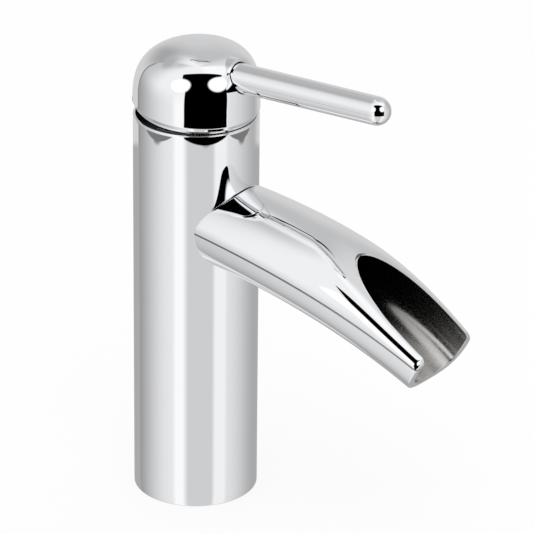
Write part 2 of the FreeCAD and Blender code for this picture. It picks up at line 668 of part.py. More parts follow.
def section_arc(place, up, half_w, height, power):
    """Half of the spout's section, from +X over the top or underside to -X."""
    points = []
    for k in range(ARC_POINTS):
        a = math.pi * k / (ARC_POINTS - 1)
        c, s = math.cos(a), math.sin(a)
        across = math.copysign(abs(c) ** (2 / power), c) * half_w
        rise = max(s, 0.0) ** (2 / power) * height
        points.append(place + SIDE * across + up * rise)
    start = up if height > 0 else up * -1
    curve = Part.BSplineCurve()
    curve.interpolate(Points=points, InitialTangent=start, FinalTangent=start * -1)
    return curve.toShape()


def spout_section(t, wall, roof, floor):
    u = t / SPOUT_LENGTH
    place, up = spout_point(t)
    half_w = through_three(SPOUT_HALF_W, u) - wall
    top = through_three(SPOUT_UP, u) - roof
    down = through_three(SPOUT_DOWN, u) - floor
    root_power, mouth_power = SPOUT_BOTTOM_POWER
    power = root_power + (mouth_power - root_power) * u
    over = section_arc(place, up, half_w, top, SPOUT_TOP_POWER)
    under = section_arc(place, up, half_w, -down, power)
    return Part.Wire([over, under])


def spout_loft(t0, t1, wall, roof, floor):
    step = (t1 - t0) / (STATIONS - 1)
    wires = [spout_section(t0 + step * k, wall, roof, floor) for k in range(STATIONS)]
    return Part.makeLoft(wires, True, False)


def above_opening():
    """Everything above the slanted plane that opens the spout."""
    slab = box(-FAR, FAR, -FAR, FAR, 0, FAR)
    slab.rotate(V(0, 0, 0), SIDE, OPENING_FALL)
    slab.translate(spout_point(SPOUT_LENGTH)[0] + UP * OPENING_UP)
    return slab


def spout_shell():
    start = COLUMN_R / 2
    outer = spout_loft(start, SPOUT_LENGTH, 0, 0, 0)
    inner = spout_loft(start, SPOUT_LENGTH + SPOUT_WALL, SPOUT_WALL, SPOUT_ROOF, SPOUT_FLOOR)
    shell = outer.cut(above_opening()).cut(inner)
    return shell.cut(cylinder(COLUMN_R, 0, FAR))


def build():
    os.makedirs("parts", exist_ok=True)
    save("column_body", column_body())
    save("spout_shell", spout_shell())
    save("valve_block", valve_block())
    save("block_o_rings", block_o_rings())
    save("hot_inlet_tube", inlet_tube(-INLET_X))
    save("cold_inlet_tube", inlet_tube(INLET_X))
    save("tube_o_rings", tube_o_rings())
    save("base_plug", base_plug())
    save("base_gasket", base_gasket())
    save("cartridge_base", cartridge_base())
    save("cartridge_housing", cartridge_housing())
    save("port_seals", port_seals())
    save("disc_seals", disc_seals())
    save("fixed_disc", fixed_disc())
    save("retaining_nut", retaining_nut())
    save("nut_cover", nut_cover())
    save("hot_limit_ring", hot_limit_ring())
    save("cartridge_rotor", cartridge_rotor())
    save("rotor_seal", rotor_seal())
    save("pivot_pin", pivot_pin())
    save("disc_carrier", disc_carrier())
    save("moving_disc", moving_disc())
    save("handle_dome", handle_dome())
    save("lever_rod", lever_rod())
    save("lever_stud", lever_stud())
    save("stem_adapter", stem_adapter())
    save("cartridge_stem", cartridge_stem())


build()
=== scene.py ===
"""Single-lever basin mixer with an open waterfall spout: the chrome pieces, the inner pieces and the studio."""
import json
import math

import bpy
import numpy as np
from mathutils import Matrix, Vector


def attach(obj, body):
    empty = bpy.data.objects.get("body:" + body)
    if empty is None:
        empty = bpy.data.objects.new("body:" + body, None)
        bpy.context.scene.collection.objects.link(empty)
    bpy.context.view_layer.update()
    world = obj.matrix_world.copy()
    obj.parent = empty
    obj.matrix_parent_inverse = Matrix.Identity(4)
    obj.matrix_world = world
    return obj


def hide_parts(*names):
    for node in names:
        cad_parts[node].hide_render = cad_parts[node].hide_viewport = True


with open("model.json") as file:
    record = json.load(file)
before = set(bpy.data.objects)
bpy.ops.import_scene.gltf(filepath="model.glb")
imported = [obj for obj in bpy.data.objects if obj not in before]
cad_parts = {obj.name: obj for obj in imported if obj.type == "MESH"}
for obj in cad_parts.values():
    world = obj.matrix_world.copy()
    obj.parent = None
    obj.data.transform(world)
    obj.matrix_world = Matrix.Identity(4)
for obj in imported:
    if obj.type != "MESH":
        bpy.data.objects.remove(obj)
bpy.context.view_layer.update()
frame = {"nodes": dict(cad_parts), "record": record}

MM = 0.001
AROUND = 192                     # edges round the turned pieces
AROUND_SMALL = 96                # and round the small ones of the handle

# ---- sizes, in mm, as the solids have them ----------------------------------------------------------
COLUMN_R = 23.0
COLUMN_H = 149.5
FOOT_BEVEL = 0.4
RIM_ROUND = 0.55
MOUTH_R = 22.15
MOUTH_FLOOR_Z = 141.6
UPPER_BORE_R = 20.0
LOWER_BORE_R = 19.0
LEDGE_Z = 92.0
ROLL_H = 3.0                     # the column's top is rolled in very slightly over this height
ROLL_TILT = 0.55                 # degrees at the rim

DOME_R = 23.25
CROWN_Z = 155.5
CROWN_H = 21.3
CROWN_POWER = 2.73
CROWN_RISE = 0.040
BEVEL_Z = 153.65
BEVEL_DROP = 0.080
EDGE_R = 21.6
EDGE_Z = 150.35
EDGE_DROP = 0.035
EDGE_WALL = 1.6
DOME_WALL = 2.2
DOME_ROOF = 3.0
CREASE_ROUND = 0.5
EDGE_ROUND = 0.18                # of the cap's lower edge
POLE_R = 0.6                     # where the cap's outline stops short of its axis
# further in than these two limits, the dome's inside is painted near-black as shade
EDGE_SKIN = 0.51                 # chrome reaches this far in at the lower edge
CROWN_SKIN = 0.93                # a face of the crown under this share of the outside is an inner one
SIDE_LEAN = 0.16                 # the side leans in by this much, most of it just above the crease
SIDE_EASE = 3.0

PIVOT_Z = 158.7
LEVER_RISE = 2.95
LEVER_OFFSET = 8.33
LEVER_REACH = 80.7
LEVER_ROOT_R = 5.35
LEVER_TIP_R = 5.15
LEVER_HOLE_R = 5.70
LEVER_HOLE_START = 17.5
LEVER_ROOT = 12.5

SPOUT_Z = 112.75
SPOUT_LENGTH = 116.4
SPOUT_FALL = (2.4, 28.7)
SPOUT_HALF_W = (17.4, 20.4, 16.9)
SPOUT_UP = (14.3, 14.2, 14.15)
SPOUT_DOWN = (16.5, 14.85, 13.7)
TOP_POWER = 1.75
BOTTOM_POWER = (2.35, 3.15)
SPOUT_WALL = 3.6
SPOUT_ROOF = 2.35
SPOUT_FLOOR = 2.1
OPENING_UP = 3.44
OPENING_FALL = 33.0
LIP_ROUND = 4.6                  # how softly the outside rolls over into the lip
TIP_ROUND = 2.4                  # of the lip's ends, seen from the side
MOUTH_ROUND = 0.5                # of the mouth's edges
INNER_EDGE = 0.45                # of the lip's inner edge
SEAM_INSET = 0.42                # dark joint where the spout meets the column
SEAM_W = 0.45


# ---- modelling helpers --------------------------------------------------------------------------------
def deselect_all():
    if bpy.context.object and bpy.context.object.mode != "OBJECT":
        bpy.ops.object.mode_set(mode="OBJECT")
    bpy.ops.object.select_all(action="DESELECT")


def make_active(piece):
    deselect_all()
    piece.select_set(True)
    bpy.context.view_layer.objects.active = piece


def turned(name, outline, around=AROUND):
    """Turn a closed-off outline of (r, z) in mm: a ring is drawn out from point to point."""
    deselect_all()
    r0, z0 = outline[0]
    bpy.ops.mesh.primitive_circle_add(vertices=around, radius=r0 * MM, fill_type="TRIFAN", location=(0, 0, z0 * MM))
    piece = bpy.context.object
    piece.name = piece.data.name = name
    bpy.ops.object.mode_set(mode="EDIT")
    bpy.ops.mesh.select_mode(type="EDGE")
    bpy.ops.mesh.select_all(action="DESELECT")
    bpy.ops.mesh.select_non_manifold()
    for (r_from, z_from), (r_to, z_to) in zip(outline, outline[1:]):
        bpy.ops.mesh.extrude_edges_move()
        bpy.ops.transform.translate(value=(0, 0, (z_to - z_from) * MM))
        k = r_to / r_from
        bpy.ops.transform.resize(value=(k, k, 1), center_override=(0, 0, z_to * MM))
    bpy.ops.mesh.edge_face_add()
    bpy.ops.mesh.poke()
    bpy.ops.mesh.select_all(action="SELECT")
    bpy.ops.mesh.normals_make_consistent(inside=False)
    bpy.ops.object.mode_set(mode="OBJECT")
    settle(piece)
    return piece


def settle(piece):
    """Leave the object at the origin, unturned and unscaled."""
    make_active(piece)
    bpy.ops.object.transform_apply(location=True, rotation=True, scale=True)


def soft_shade(piece, degrees):
    make_active(piece)
    bpy.ops.object.shade_smooth_by_angle(angle=math.radians(degrees))


def arc(r, z, radius, start, end, steps):
    """Points of an arc round (r, z), angles in degrees from the outward direction."""
    points = []
    for k in range(steps + 1):
        a = math.radians(start + (end - start) * k / steps)
        points.append((r + radius * math.cos(a), z + radius * math.sin(a)))
    return points


def coords(piece):
    values = np.empty(len(piece.data.vertices) * 3)
    piece.data.vertices.foreach_get("co", values)
    return values.reshape(-1, 3) / MM


def set_coords(piece, points):
    piece.data.vertices.foreach_set("co", (points * MM).ravel())
    piece.data.update()


def cut_away(piece, cutter):
    make_active(piece)
    cut = piece.modifiers.new("cut", "BOOLEAN")
    cut.operation = "DIFFERENCE"
    cut.solver = "EXACT"
    cut.object = cutter
    bpy.ops.object.modifier_apply(modifier=cut.name)
    bpy.data.objects.remove(cutter, do_unlink=True)


def paint_shade_inside(piece, inside):
    """Chrome outside, and near-black painted shade on faces whose middle (r, y, z) lies inside."""
    piece.data.materials.append(chrome)
    piece.data.materials.append(joint_and_painted_shade)
    for poly in piece.data.polygons:
        x, y, z = poly.center / MM
        poly.material_index = 1 if inside(math.hypot(x, y), y, z) else 0


# ---- column ---------------------------------------------------------------------------------------------
def column_outline():
    roll_start = COLUMN_H - RIM_ROUND - ROLL_H
    points = [(1.0, LEDGE_Z), (LOWER_BORE_R, LEDGE_Z), (LOWER_BORE_R, 0.0), (COLUMN_R - FOOT_BEVEL, 0.0)]
    points += arc(COLUMN_R - FOOT_BEVEL, FOOT_BEVEL, FOOT_BEVEL, -90, 0, 6)[1:]
    points += [(COLUMN_R, 4.0), (COLUMN_R, 40.0), (COLUMN_R, 90.0), (COLUMN_R, roll_start - 3), (COLUMN_R, roll_start)]
    steps = 10
    for k in range(1, steps + 1):
        s = ROLL_H * k / steps
        points.append((COLUMN_R - math.radians(ROLL_TILT) * s * s / (2 * ROLL_H), roll_start + s))
    r_top = points[-1][0]
    points += arc(r_top - RIM_ROUND, COLUMN_H - RIM_ROUND, RIM_ROUND, 0, 90, 8)[1:]
    points += [(MOUTH_R, COLUMN_H), (MOUTH_R, MOUTH_FLOOR_Z), (UPPER_BORE_R, MOUTH_FLOOR_Z)]
    points += [(UPPER_BORE_R, LEDGE_Z + 1), (1.0, LEDGE_Z + 1)]
    return points


def make_column():
    column = turned("column", column_outline())
    soft_shade(column, 24)
    # painted shade: the mouth's walls and floor and the bores are given near-black
    paint_shade_inside(column, lambda r, y, z: r < MOUTH_R + 0.02 and z > 1.0)
    return column


# ---- handle ----------------------------------------------------------------------------------------------
def crown_points(r, h, z_spring, steps):
    """Side to top: a crown squarer than an ellipse."""
    points = []
    for k in range(steps + 1):
        a = 0.5 * math.pi * k / steps
        points.append((r * math.cos(a) ** (2 / CROWN_POWER), z_spring + h * math.sin(a) ** (2 / CROWN_POWER)))
    return points


def side_ease(z):
    """How far the dome's side has leaned in at a height."""
    return SIDE_LEAN * (1 - math.exp(-max(z - BEVEL_Z, 0.0) / SIDE_EASE))


def dome_outline():
    inside = crown_points(DOME_R - DOME_WALL, CROWN_H - DOME_ROOF, CROWN_Z, 24)
    inside[-1] = (POLE_R, inside[-1][1])
    points = inside[::-1] + [(DOME_R - DOME_WALL, BEVEL_Z), (EDGE_R - EDGE_WALL, EDGE_Z)]
    slope = (DOME_R - EDGE_R) / (BEVEL_Z - EDGE_Z)
    tilt = math.degrees(math.atan(slope))
    points += arc(EDGE_R - EDGE_ROUND, EDGE_Z + EDGE_ROUND, EDGE_ROUND, -90, -tilt, 4)
    points += [(DOME_R - slope * d, BEVEL_Z - d) for d in (2.4, 1.2, 0.5, 0.3, 0.2)]
    spring = BEVEL_Z + CREASE_ROUND * math.tan(math.radians(tilt / 2))
    outside = arc(DOME_R - CREASE_ROUND, spring, CREASE_ROUND, -tilt, 0, 6)
    outside += [(DOME_R, spring + d) for d in (0.08, 0.16, 0.3, 0.5, 0.8, 1.1, 1.4)]
    outside += crown_points(DOME_R, CROWN_H, CROWN_Z, 110)
    outside[-1] = (POLE_R, outside[-1][1])
    return points + [(r - side_ease(z), z) for r, z in outside]


def lean(points):
    """The crown rises and the lower edge falls towards the lever."""
    x, y, z = points.T
    rise = np.interp(z, (EDGE_Z, BEVEL_Z, CROWN_Z), (-EDGE_DROP, -BEVEL_DROP, CROWN_RISE))
    share = np.clip((BEVEL_Z - z) / (BEVEL_Z - EDGE_Z), 0, 1)
    r = np.hypot(x, y)
    wider = 1 + np.where(r > 15, -0.0225 * y * share / np.maximum(r, 1), 0)
    return np.stack([x * wider, y * wider, z - y * rise], 1)


def lever_place():
    """From a piece drawn along +Z at the origin to the lever's own line."""
    rise = math.radians(LEVER_RISE)
    base = Vector((0, 0, PIVOT_Z + LEVER_OFFSET / math.cos(rise))) * MM
    return Matrix.Translation(base) @ Matrix.Rotation(math.pi / 2 - rise, 4, "X")


def on_lever_line(piece):
    piece.data.transform(lever_place())
    piece.data.update()
    return piece


def crown_normals(piece):
    """Shade the crown exactly, so that the hole for the lever leaves no ripple in the mirror."""
    mesh = piece.data
    normals = []
    for poly in mesh.polygons:
        for index in poly.loop_indices:
            co = Vector(mesh.vertices[mesh.loops[index].vertex_index].co) / MM
            level = co.z - CROWN_Z + CROWN_RISE * co.y
            r = math.hypot(co.x, co.y)
            full_r = r + side_ease(CROWN_Z + level)
            exact = Vector((0, 0, 0))
            if level > 0 and r > 0.3:
                a = (full_r / DOME_R) ** (CROWN_POWER - 1) / DOME_R
                b = (level / CROWN_H) ** (CROWN_POWER - 1) / CROWN_H
                b += a * (SIDE_LEAN - side_ease(CROWN_Z + level)) / SIDE_EASE
                guess = Vector((a * co.x / r, a * co.y / r + b * CROWN_RISE, b)).normalized()
                off = (full_r / DOME_R) ** CROWN_POWER + (level / CROWN_H) ** CROWN_POWER - 1
                if abs(off) < 0.02 and guess.dot(poly.normal) > 0.9:
                    exact = guess
            normals.append(exact)
    mesh.normals_split_custom_set(normals)


def make_dome():
    dome = turned("handle_cap", dome_outline())
    set_coords(dome, lean(coords(dome)))
    hole = [(1.0, LEVER_HOLE_START), (LEVER_HOLE_R, LEVER_HOLE_START), (LEVER_HOLE_R, 40.0), (1.0, 40.0)]
    cut_away(dome, on_lever_line(turned("hole_tool", hole, AROUND_SMALL)))
    arm_outline = [(1.0, 10.0), (6.9, 10.0), (6.9, 19.0), (5.72, 19.2), (5.72, 17.4), (1.0, 17.4)]
    arm = on_lever_line(turned("arm", arm_outline, AROUND_SMALL))
    hub = turned("hub", [(1.0, 165.6), (9.4, 165.6), (9.4, 174.6), (1.0, 175.0)], AROUND_SMALL)
    soft_shade(dome, 20)
    crown_normals(dome)
    # the dome's inner skin is painted near-black as shade
    paint_shade_inside(dome, behind_dome_skin)
    for piece in (arm, hub):
        piece.data.materials.append(chrome)
    return dome, arm, hub


# Faces of the dome's inner skin, which get near-black painted shade.
def behind_dome_skin(r, y, z):
    level = z - CROWN_Z + CROWN_RISE * y
    if level <= 0:
        return r < EDGE_R - EDGE_SKIN
    return (r / DOME_R) ** CROWN_POWER + (level / CROWN_H) ** CROWN_POWER < CROWN_SKIN


def make_lever():
    outline = [(1.0, LEVER_ROOT), (LEVER_ROOT_R, LEVER_ROOT), (LEVER_ROOT_R, LEVER_HOLE_START)]
    steps = 12
    span = LEVER_REACH - LEVER_HOLE_START
    for k in range(1, steps + 1):
        s = k / steps
        outline.append((LEVER_ROOT_R + (LEVER_TIP_R - LEVER_ROOT_R) * s, LEVER_HOLE_START + span * s))
    ball = arc(0, LEVER_REACH, LEVER_TIP_R, 0, 88, 30)
    outline += ball[1:]
    lever = on_lever_line(turned("lever_bar", outline, 128))
    soft_shade(lever, 24)
    lever.data.materials.append(chrome)
    return lever


# ---- spout ---------------------------------------------------------------------------------------------------
T_LINE = np.linspace(0, SPOUT_LENGTH + 6, 2449)


def fall_at(t):
    u = np.asarray(t) / SPOUT_LENGTH
    root, end = SPOUT_FALL
    return np.radians(root + (end - root) * (u + u * u) / 2)


def centre_table():
    middle = (T_LINE[1:] + T_LINE[:-1]) / 2
    step = T_LINE[1] - T_LINE[0]
    y = np.concatenate([[0], np.cumsum(-np.cos(fall_at(middle)) * step)])
    z = SPOUT_Z + np.concatenate([[0], np.cumsum(-np.sin(fall_at(middle)) * step)])
    return y, z


Y_LINE, Z_LINE = centre_table()


def centre_at(t):
    return np.interp(t, T_LINE, Y_LINE), np.interp(t, T_LINE, Z_LINE)


def through_three(values, u):
    root, middle, mouth = values
    return root * (1 - u) * (1 - 2 * u) + middle * 4 * u * (1 - u) + mouth * u * (2 * u - 1)


def opening_height(t):
    """Height of the opening's plane above the centre line, within the section at t; its ends are rounded off."""
    y, z = centre_at(t)
    y_end, z_end = centre_at(SPOUT_LENGTH)
    slope = math.tan(math.radians(OPENING_FALL))
    fall = fall_at(t)
    height = (z_end + OPENING_UP - z + slope * (y - y_end)) / (np.cos(fall) + slope * np.sin(fall))
    past = max(0.0, t - (SPOUT_LENGTH - TIP_ROUND))
    return float(height - (TIP_ROUND - math.sqrt(max(TIP_ROUND ** 2 - past ** 2, 0.0))))


def shell_radius(t, angle, wall, roof, floor):
    """Distance from the centre line to the surface, and how squarely that line meets it."""
    u = t / SPOUT_LENGTH
    a = through_three(SPOUT_HALF_W, u) - wall
    up = through_three(SPOUT_UP, u) - roof
    down = through_three(SPOUT_DOWN, u) - floor
    low_power = BOTTOM_POWER[0] + (BOTTOM_POWER[1] - BOTTOM_POWER[0]) * u
    s, c = np.sin(angle), np.cos(angle)
    power = np.where(c >= 0, TOP_POWER, low_power)
    tall = np.where(c >= 0, up, down)
    s, c = np.abs(s), np.abs(c)
    radius = ((s / a) ** power + (c / tall) ** power) ** (-1 / power)
    gw = (radius * s / a) ** (power - 1) / a
    gh = (radius * c / tall) ** (power - 1) / tall
    square = (gw * s + gh * c) / np.hypot(gw, gh)
    return radius, square


def edge_shrink(t, radius, end):
    past = max(0.0, t - (end - radius))
    return radius - math.sqrt(max(radius ** 2 - past ** 2, 0.0))


def outer_radius(t, angle, inset=0.0):
    """The outside, rolled softly into the opening's plane."""
    full, square = shell_radius(t, angle, 0.0, 0.0, 0.0)
    plane = opening_height(t)
    tilt = math.radians(OPENING_FALL) - float(fall_at(t))
    shrink = inset + edge_shrink(t, MOUTH_ROUND, SPOUT_LENGTH)
    low, high = np.zeros_like(full), full.copy()
    for _ in range(40):
        mid = (low + high) / 2
        side = (mid - full) * square + shrink
        over = (mid * np.cos(angle) - plane) * math.cos(tilt)
        blend = np.maximum(LIP_ROUND - np.abs(side - over), 0) ** 2 / (4 * LIP_ROUND)
        out = np.maximum(side, over) + blend > 0
        high = np.where(out, mid, high)
        low = np.where(out, low, mid)
    return (low + high) / 2


def inner_radius(t, angle):
    full, square = shell_radius(t, angle, SPOUT_WALL, SPOUT_ROOF, SPOUT_FLOOR)
    return full + edge_shrink(t, MOUTH_ROUND, SPOUT_LENGTH) / square


def inner_half_width(t, height):
    """Half width of the waterway at a height in the section at t, 0 where the roof closes it."""
    if height >= float(inner_radius(t, np.array([0.0]))[0]):
        return 0.0
    low, high = 0.0, math.pi / 2
    for _ in range(50):
        mid = (low + high) / 2
        if float(inner_radius(t, np.array([mid]))[0]) * math.cos(mid) > height:
            low = mid
        else:
            high = mid
    return float(inner_radius(t, np.array([high]))[0]) * math.sin(high)


UPPER_COLUMNS, LOWER_COLUMNS = 46, 40


def evenly(radius_of, start):
    """Half a section from the angle start down to the underside, its points spaced evenly, as (w, h)."""
    halves = []
    for a0, a1, count in ((start, math.pi / 2, UPPER_COLUMNS), (math.pi / 2, math.pi, LOWER_COLUMNS)):
        angle = np.linspace(a0, a1, 361)
        radius = radius_of(angle)
        w, h = radius * np.sin(angle), radius * np.cos(angle)
        length = np.concatenate([[0], np.cumsum(np.hypot(np.diff(w), np.diff(h)))])
        even = np.linspace(0, length[-1], count + 1)
        halves.append(np.stack([np.interp(even, length, w), np.interp(even, length, h)], 1))
    half = np.concatenate([halves[0], halves[1][1:]])
    half[-1, 0] = 0.0
    return half


def half_section(t, inset=0.0):
    """Outside, rounded lip edge and inside of half a section, and whether the opening has begun."""
    plane = opening_height(t)
    width = inner_half_width(t, plane)
    if width <= 1e-6:
        outer = evenly(lambda a: outer_radius(t, a, inset), 0.0)
        inner = evenly(lambda a: inner_radius(t, a), 0.0)
        outer[0, 0] = inner[0, 0] = 0.0
        return outer, None, inner
    edge = INNER_EDGE * min(1.0, width / 2.0)
    drop_width = inner_half_width(t, plane - edge)
    outer = evenly(lambda a: outer_radius(t, a, inset), math.atan2(width + edge, plane))
    inner = evenly(lambda a: inner_radius(t, a), math.atan2(drop_width, plane - edge))
    first, corner, last = outer[0], np.array([width, plane]), inner[0]
    strip = [first * (1 - s) ** 2 + corner * 2 * s * (1 - s) + last * s * s for s in (0.25, 0.5, 0.75)]
    return outer, np.array(strip), inner


def placed(t, points):
    """Points (w, h) of the section at t, in the frame. t may differ from point to point."""
    y, z = centre_at(t)
    fall = fall_at(t)
    w, h = points[:, 0], points[:, 1]
    return np.stack([w, y - h * np.sin(fall), z + h * np.cos(fall)], 1)


def opening_start():
    low, high = 40.0, SPOUT_LENGTH
    for _ in range(50):
        mid = (low + high) / 2
        roof = float(inner_radius(mid, np.array([0.0]))[0])
        if opening_height(mid) > roof:
            low = mid
        else:
            high = mid
    return high


def root_rows(t_even):
    """Sections up to t_even, and where along them each column of points leaves the column's round side."""
    table_t = np.arange(8.0, t_even + 0.01, 0.5)
    sections = [half_section(t) for t in table_t]
    outer = np.array([placed(np.full(len(s[0]), t), s[0]) for t, s in zip(table_t, sections)])
    inner = np.array([placed(np.full(len(s[2]), t), s[2]) for t, s in zip(table_t, sections)])
    rows = []
    for grid in (outer, inner):
        away = np.hypot(grid[:, :, 0], grid[:, :, 1])
        starts = np.array([np.interp(COLUMN_R, away[:, j], table_t) for j in range(grid.shape[1])])
        rows.append((grid, starts))
    return table_t, rows


def sample_columns(table_t, grid, t):
    return np.stack([[np.interp(t[j], table_t, grid[:, j, k]) for k in range(3)] for j in range(grid.shape[1])])


def spout_rows():
    t_even = 46.0
    table_t, ((outer, outer_start), (inner, inner_start)) = root_rows(t_even)
    rows = []
    seam = ((0.0, SEAM_INSET), (SEAM_W, SEAM_INSET), (SEAM_W + 0.02, 0.16), (SEAM_W + 0.14, 0.04), (SEAM_W + 0.32, 0.0))
    middle_z = np.interp(outer_start, T_LINE, Z_LINE)
    for ahead, inset in seam:
        ring = sample_columns(table_t, outer, outer_start + ahead)
        if inset:
            w, h = ring[:, 0], ring[:, 2] - middle_z
            length = np.maximum(np.hypot(w, h), 1e-6)
            ring = ring - np.stack([w / length, np.zeros_like(w), h / length], 1) * inset
            ring[0, 0] = ring[-1, 0] = 0.0
        rows.append((ring, None, sample_columns(table_t, inner, inner_start + ahead)))
    count = 34
    for i in range(1, count + 1):
        s = i / count
        s = s * (0.25 + 0.75 * s) if s < 1 else 1.0
        out_t = (outer_start + SEAM_W + 0.32) * (1 - s) + t_even * s
        in_t = (inner_start + SEAM_W + 0.32) * (1 - s) + t_even * s
        rows.append((sample_columns(table_t, outer, out_t), None, sample_columns(table_t, inner, in_t)))
    t_open = opening_start()
    stations = list(np.linspace(t_even, t_open, 44)[1:-1])
    settled = t_open + 10.0
    stations += [t_open + (settled - t_open) * (k / 26) ** 2 for k in range(27)]
    tip = SPOUT_LENGTH - TIP_ROUND
    stations += list(np.linspace(settled, tip, 40)[1:])
    stations += [SPOUT_LENGTH - TIP_ROUND * (1 - math.sin(0.5 * math.pi * k / 14)) for k in range(1, 14)]
    stations += [SPOUT_LENGTH]
    for t in stations:
        outside, strip, inside = half_section(t)
        if t == t_open:
            apex = np.array([0.0, opening_height(t)])
            outside[0] = inside[0] = apex
            strip = np.array([apex] * 3)
        parts = (outside, strip, inside)
        rows.append(tuple(None if part is None else placed(np.full(len(part), t), part) for part in parts))
    return rows


# LINE is the painted shade along the crease at the spout's widest line
PLATED, SATIN, JOINT, LINE = range(4)              # the spout's finishes, in the order of its material slots


def make_spout():
    """Half the spout as a net of sections, mirrored: outside, lip, waterway, root and mouth all closed."""
    rows = spout_rows()
    points, index = [], []
    for outside, strip, inside in rows:
        first = len(points)
        points.extend(outside)
        lip = None
        if strip is not None:
            lip = [first] + list(range(len(points), len(points) + len(strip)))
            points.extend(strip)
        second = len(points)
        points.extend(inside)
        if lip is not None:
            lip.append(second)
        index.append((list(range(first, first + len(outside))), lip, list(range(second, second + len(inside)))))
    faces, finish = [], []

    def net(a, b, kind, line=None):
        for j in range(len(a) - 1):
            faces.append((a[j], a[j + 1], b[j + 1], b[j]))
            finish.append(LINE if j == line else kind)

    for k, ((out_a, lip_a, in_a), (out_b, lip_b, in_b)) in enumerate(zip(index, index[1:])):
        # the faces along the widest line get the painted shade of the crease
        net(out_a, out_b, JOINT if k == 0 else PLATED, UPPER_COLUMNS)
        net(in_b, in_a, SATIN)
        if lip_a and lip_b:
            net(lip_b, lip_a, PLATED)
    root_out, _, root_in = index[0]
    net(root_in, root_out, PLATED)
    end_out, _, end_in = index[-1]
    net(end_out, end_in, PLATED)
    deselect_all()
    mesh = bpy.data.meshes.new("spout")
    mesh.from_pydata([tuple(p * MM) for p in np.array(points)], [], faces)
    for poly, kind in zip(mesh.polygons, finish):
        poly.material_index = kind
    spout = bpy.data.objects.new("spout", mesh)
    bpy.context.scene.collection.objects.link(spout)
    for material in (chrome, satin_waterway, joint_and_painted_shade, crease_painted_shade):
        mesh.materials.append(material)
    make_active(spout)
    mirror = spout.modifiers.new("other_half", "MIRROR")
    mirror.use_axis[0] = True
    mirror.use_mirror_merge = True
    mirror.merge_threshold = 0.000004
    bpy.ops.object.modifier_apply(modifier=mirror.name)
    bpy.ops.object.mode_set(mode="EDIT")
    bpy.ops.mesh.select_all(action="SELECT")
    bpy.ops.mesh.remove_doubles(threshold=0.000002)
    bpy.ops.mesh.normals_make_consistent(inside=False)
    bpy.ops.object.mode_set(mode="OBJECT")
    soft_shade(spout, 40)
    return spout


# ---- materials --------------------------------------------------------------------------------------------------
class Wiring:
    """Short names for the few nodes that the finishes and the studio are wired from."""

    def __init__(self, tree):
        self.tree = tree
        tree.nodes.clear()

    def node(self, kind, **settings):
        node = self.tree.nodes.new(kind)
        for name, value in settings.items():
            setattr(node, name, value)
        return node

    def link(self, source, target):
        if isinstance(source, (int, float)):
            target.default_value = source
        else:
            self.tree.links.new(source, target)

    def calc(self, operation, *values):
        node = self.node("ShaderNodeMath", operation=operation)
        for value, socket in zip(values, node.inputs):
            self.link(value, socket)
        return node.outputs[0]

    def step(self, value, low, high, to_low=0.0, to_high=1.0):
        node = self.node("ShaderNodeMapRange", interpolation_type="SMOOTHSTEP")
        names = ("Value", "From Min", "From Max", "To Min", "To Max")
        for source, name in zip((value, low, high, to_low, to_high), names):
            self.link(source, node.inputs[name])
        return node.outputs[0]

    def between(self, value, low, high, soft):
        rising = self.step(value, low - soft / 2, low + soft / 2)
        falling = self.step(value, high - soft / 2, high + soft / 2, 1.0, 0.0)
        return self.calc("MULTIPLY", rising, falling)

    def mix(self, share, a, b):
        first = self.calc("MULTIPLY", a, self.calc("SUBTRACT", 1.0, share))
        return self.calc("ADD", first, self.calc("MULTIPLY", b, share))

    def object_place(self, scale=(1, 1, 1)):
        coord = self.node("ShaderNodeTexCoord")
        mapping = self.node("ShaderNodeMapping")
        mapping.inputs["Scale"].default_value = scale
        self.link(coord.outputs["Object"], mapping.inputs["Vector"])
        return mapping.outputs[0]

    def noise(self, place, scale, detail=3.0, rough=0.5):
        node = self.node("ShaderNodeTexNoise")
        node.inputs["Scale"].default_value = scale
        node.inputs["Detail"].default_value = detail
        node.inputs["Roughness"].default_value = rough
        self.link(place, node.inputs["Vector"])
        return node.outputs["Fac"]

    def ramp(self, value, stops):
        node = self.node("ShaderNodeValToRGB")
        ramp = node.color_ramp
        while len(ramp.elements) < len(stops):
            ramp.elements.new(1.0)
        for element, (place, colour) in zip(ramp.elements, stops):
            element.position = place
            element.color = (*colour, 1.0) if isinstance(colour, tuple) else (colour, colour, colour, 1.0)
        self.link(value, node.inputs["Fac"])
        return node.outputs["Color"]

    def bump(self, height, strength, distance):
        node = self.node("ShaderNodeBump")
        node.inputs["Strength"].default_value = strength
        node.inputs["Distance"].default_value = distance
        self.link(height, node.inputs["Height"])
        return node.outputs[0]


def finish_of(name, metallic, **sockets):
    material = bpy.data.materials.new(name)
    material.use_nodes = True
    wiring = Wiring(material.node_tree)
    shader = wiring.node("ShaderNodeBsdfPrincipled")
    shader.inputs["Metallic"].default_value = metallic
    for socket, value in sockets.items():
        shader.inputs[socket.replace("_", " ")].default_value = value
    output = wiring.node("ShaderNodeOutputMaterial")
    wiring.link(shader.outputs[0], output.inputs["Surface"])
    return material, wiring, shader


PLATE = 0.92                     # what the plate gives back of the light it mirrors


def polished_chrome(name="polished_chrome", share=1.0):
    """Mirror plate: the faintest cloudiness, as a polishing mop leaves it."""
    material, wiring, shader = finish_of(name, 1.0, Specular_Tint=(0.96, 0.96, 0.96, 1.0))
    haze = wiring.noise(wiring.object_place(), 90.0, 4.0, 0.6)
    wiring.link(wiring.step(haze, 0.3, 0.7, 0.006, 0.016), shader.inputs["Roughness"])
    # a share under 1 darkens the plate, as for the painted shade along the spout's crease
    thin = [c * share for c in (PLATE - 0.012, PLATE - 0.006, PLATE + 0.008)]
    thick = [c * share for c in (PLATE - 0.004, PLATE + 0.002, PLATE + 0.016)]
    wiring.link(wiring.ramp(haze, ((0.3, tuple(thin)), (0.7, tuple(thick)))), shader.inputs["Base Color"])
    return material


